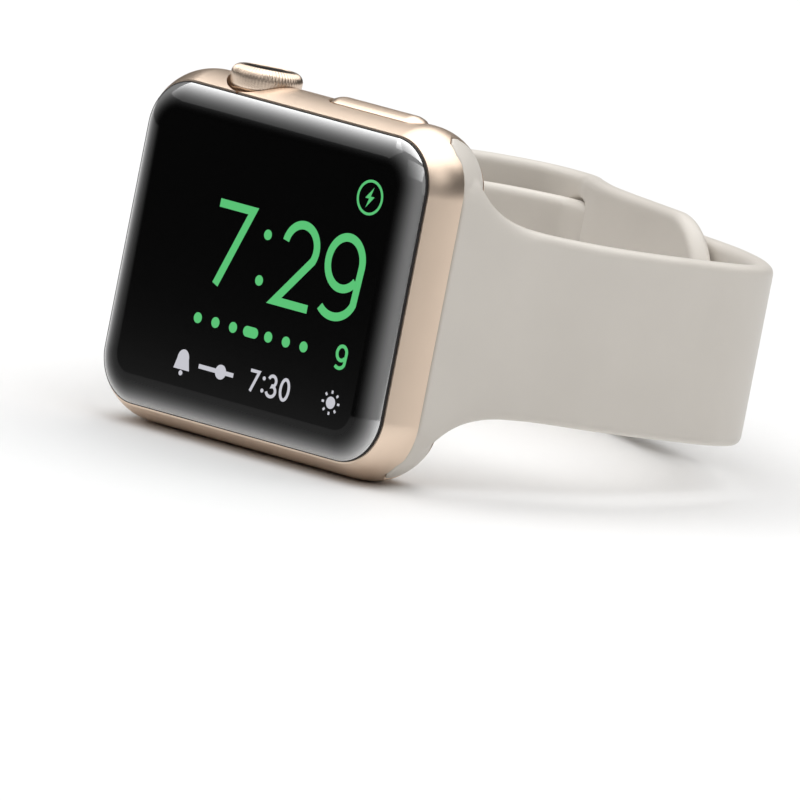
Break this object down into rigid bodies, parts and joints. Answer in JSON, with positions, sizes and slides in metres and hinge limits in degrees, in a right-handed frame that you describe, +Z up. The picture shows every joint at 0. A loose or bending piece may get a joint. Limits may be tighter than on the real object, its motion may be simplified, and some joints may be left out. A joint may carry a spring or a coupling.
{
  "type": "smartwatch",
  "caption": "Rounded-square smartwatch standing on its side, crown up, with its rubber pin-and-tuck strap closed in a loop behind the case.",
  "frame": {"origin": "middle of the box's underside, on the table the watch stands on", "axes": "+Z up, the screen faces -Y and leans back by about seven degrees, the 6 o'clock strap end is at +X and the crown is on top"},
  "size_m": [0.0624, 0.0702, 0.0379],
  "materials": {
    "case_aluminium": "satin anodised, pale gold",
    "crown_aluminium": "satin turned, pale gold",
    "steel": "brushed",
    "pin_metal": "polished, pale gold",
    "cover_glass": "polished, black behind",
    "display": "black, emissive figures",
    "black_insert": "polished black",
    "seal": "matt black",
    "strap_rubber": "soft matt elastomer, warm stone grey",
    "back_ceramic": "smooth moulded composite",
    "crystal": "polished dark dome",
    "sensor_glass": "polished lens",
    "board": "solder-masked board",
    "black_plastic": "moulded black",
    "copper": "enamelled copper",
    "cell": "pouch cell foil",
    "tungsten": "sintered heavy weight"
  },
  "bodies": {
    "case": {"case_body": "case_aluminium", "cover_glass": "cover_glass", "glass_gasket": "seal", "display_panel": "display", "display_shield": "steel", "battery": "cell", "battery_tray": "steel", "system_module": "black_plastic", "display_flex": "copper", "speaker_module": "black_plastic", "microphone": "steel", "haptic_housing": "steel", "haptic_cover": "steel", "back_gasket": "seal", "back_cover": "back_ceramic", "back_crystal": "crystal", "sensor_window_1": "sensor_glass", "sensor_window_2": "sensor_glass", "sensor_window_3": "sensor_glass", "sensor_window_4": "sensor_glass", "sensor_board": "board", "charging_coil": "copper", "alignment_magnet": "steel", "bracket_screw_1": "steel", "bracket_screw_2": "steel", "bracket_screw_3": "steel", "bracket_screw_4": "steel", "crown_oring_1": "seal", "crown_oring_2": "seal", "crown_bushing": "steel", "crown_switch": "black_plastic", "encoder_sensor": "black_plastic", "side_button_gasket": "seal", "side_button_switch": "black_plastic", "side_button_bracket": "steel"},
    "crown_carrier": {"crown_thrust_plate": "steel"},
    "crown": {"crown_knob": "crown_aluminium", "crown_insert": "black_insert", "crown_shaft": "steel", "crown_clip": "steel"},
    "side_button": {"side_button_cap": "case_aluminium"},
    "haptic_weight": {"haptic_mass": "tungsten"},
    "release_12": {"release_button_12": "case_aluminium"},
    "release_6": {"release_button_6": "case_aluminium"},
    "band": {"strap_long": "strap_rubber", "strap_short": "strap_rubber", "strap_pin": "pin_metal", "lug_core_12": "steel", "lug_core_6": "steel"},
    "plunger_12": {"lug_plunger_12": "steel"},
    "plunger_6": {"lug_plunger_6": "steel"}
  },
  "joints": [
    {"name": "crown_press", "type": "slide", "parent": "case", "child": "crown_carrier", "axis": [0, -0.1109, -0.9938], "range_m": [0, 0.0004], "stiffness_N_per_m": 4000},
    {"name": "crown_turn", "type": "hinge", "parent": "crown_carrier", "child": "crown", "pos_m": [-0.00819, -0.0261, 0.03603], "axis": [0, 0.1109, 0.9938], "continuous": true},
    {"name": "side_button_press", "type": "slide", "parent": "case", "child": "side_button", "axis": [0, -0.1109, -0.9938], "range_m": [0, 0.0003], "stiffness_N_per_m": 5000},
    {"name": "release_press_12", "type": "slide", "parent": "case", "child": "release_12", "axis": [0, -0.9938, 0.1109], "range_m": [0, 0.00025], "stiffness_N_per_m": 4000},
    {"name": "release_press_6", "type": "slide", "parent": "case", "child": "release_6", "axis": [0, -0.9938, 0.1109], "range_m": [0, 0.00025], "stiffness_N_per_m": 4000},
    {"name": "haptic_shuttle", "type": "slide", "parent": "case", "child": "haptic_weight", "axis": [1, 0, 0], "range_m": [-0.0005, 0.0005], "stiffness_N_per_m": 1500},
    {"name": "band_slide", "type": "slide", "parent": "case", "child": "band", "axis": [0, 0.1109, 0.9938], "range_m": [0, 0.036]},
    {"name": "plunger_lift_12", "type": "slide", "parent": "band", "child": "plunger_12", "axis": [0, -0.9938, 0.1109], "range_m": [0, 0.00025], "stiffness_N_per_m": 1000},
    {"name": "plunger_lift_6", "type": "slide", "parent": "band", "child": "plunger_6", "axis": [0, -0.9938, 0.1109], "range_m": [0, 0.00025], "stiffness_N_per_m": 1000}
  ],
  "couplings": [
    {"joint": "plunger_lift_12", "follows": "release_press_12", "ratio": 1},
    {"joint": "plunger_lift_6", "follows": "release_press_6", "ratio": 1}
  ]
}
